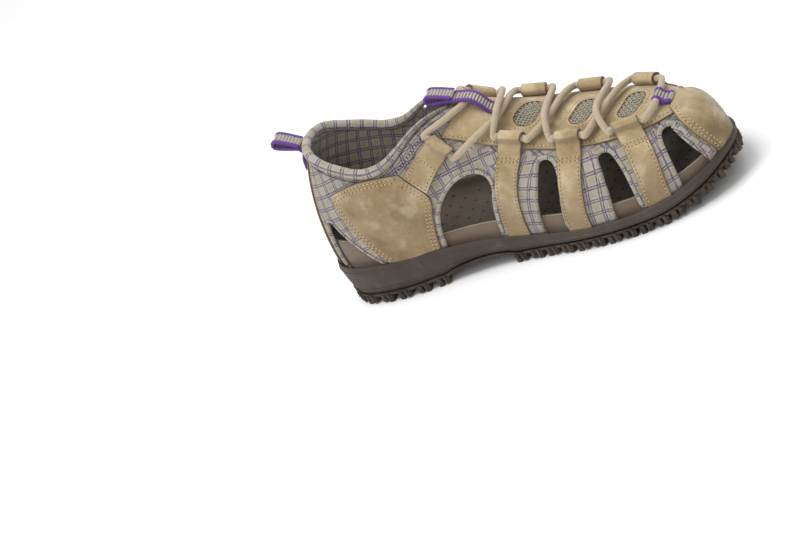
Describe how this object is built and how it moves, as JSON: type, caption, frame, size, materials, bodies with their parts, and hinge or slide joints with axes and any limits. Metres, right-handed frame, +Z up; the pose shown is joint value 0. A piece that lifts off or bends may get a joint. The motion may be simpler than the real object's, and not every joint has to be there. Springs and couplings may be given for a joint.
{
  "type": "strappy sport sandal",
  "caption": "Closed-toe sport sandal with a lugged sole, leather straps over a plaid lining, side openings, elastic lacing and webbing pull tabs.",
  "frame": {"origin": "on the ground under the middle of the whole shoe, heel to toe", "axes": "+X towards the toe, +Y towards the outer side of the foot, +Z up"},
  "size_m": [0.269, 0.0942, 0.1107],
  "materials": {
    "rubber": "matt moulded rubber",
    "foam": "matt EVA foam",
    "steel": "plain",
    "board": "pressed fibre board",
    "footbed": "brushed microfibre over foam",
    "plaid": "woven plaid",
    "puff": "thermoplastic sheet",
    "leather": "nubuck, matt",
    "mesh": "open mesh",
    "webbing": "ribbed webbing with coloured edges",
    "lace": "woven round elastic"
  },
  "bodies": {
    "shoe": {"outsole": "rubber", "midsole": "foam", "shank": "steel", "insole_board": "board", "footbed": "footbed", "quarter_lining": "plaid", "collar_roll": "plaid", "vamp_lining": "plaid", "toe_lining": "plaid", "toe_puff": "puff", "toe_cap": "leather", "backstay": "leather", "vamp_overlay": "leather", "lining_strip_medial_1": "plaid", "lining_strip_medial_2": "plaid", "lining_strip_medial_3": "plaid", "lining_strip_lateral_1": "plaid", "lining_strip_lateral_2": "plaid", "lining_strip_lateral_3": "plaid", "heel_panel_medial": "leather", "heel_panel_lateral": "leather", "rear_loop_medial": "leather", "rear_loop_lateral": "leather", "strap_medial_1": "leather", "strap_medial_2": "leather", "strap_medial_3": "leather", "strap_lateral_1": "leather", "strap_lateral_2": "leather", "strap_lateral_3": "leather", "window_mesh_1": "mesh", "window_mesh_2": "mesh", "window_mesh_3": "mesh", "tongue_tab_strip": "webbing", "heel_tab_base": "webbing", "toe_lace_anchor": "webbing", "elastic_lace": "lace"},
    "heel_tab": {"heel_pull_tab": "webbing"},
    "tongue_tab": {"tongue_pull_tab": "webbing"}
  },
  "joints": [
    {"name": "heel_tab_swing", "type": "hinge", "parent": "shoe", "child": "heel_tab", "pos_m": [-0.11483, 0.00044, 0.10171], "axis": [0, 1, 0], "range_deg": [-60, 45], "stiffness_Nm_per_rad": 0.003},
    {"name": "tongue_tab_swing", "type": "hinge", "parent": "shoe", "child": "tongue_tab", "pos_m": [-0.01068, 0.00044, 0.09839], "axis": [0, 1, 0], "range_deg": [-9, 80], "stiffness_Nm_per_rad": 0.003}
  ]
}
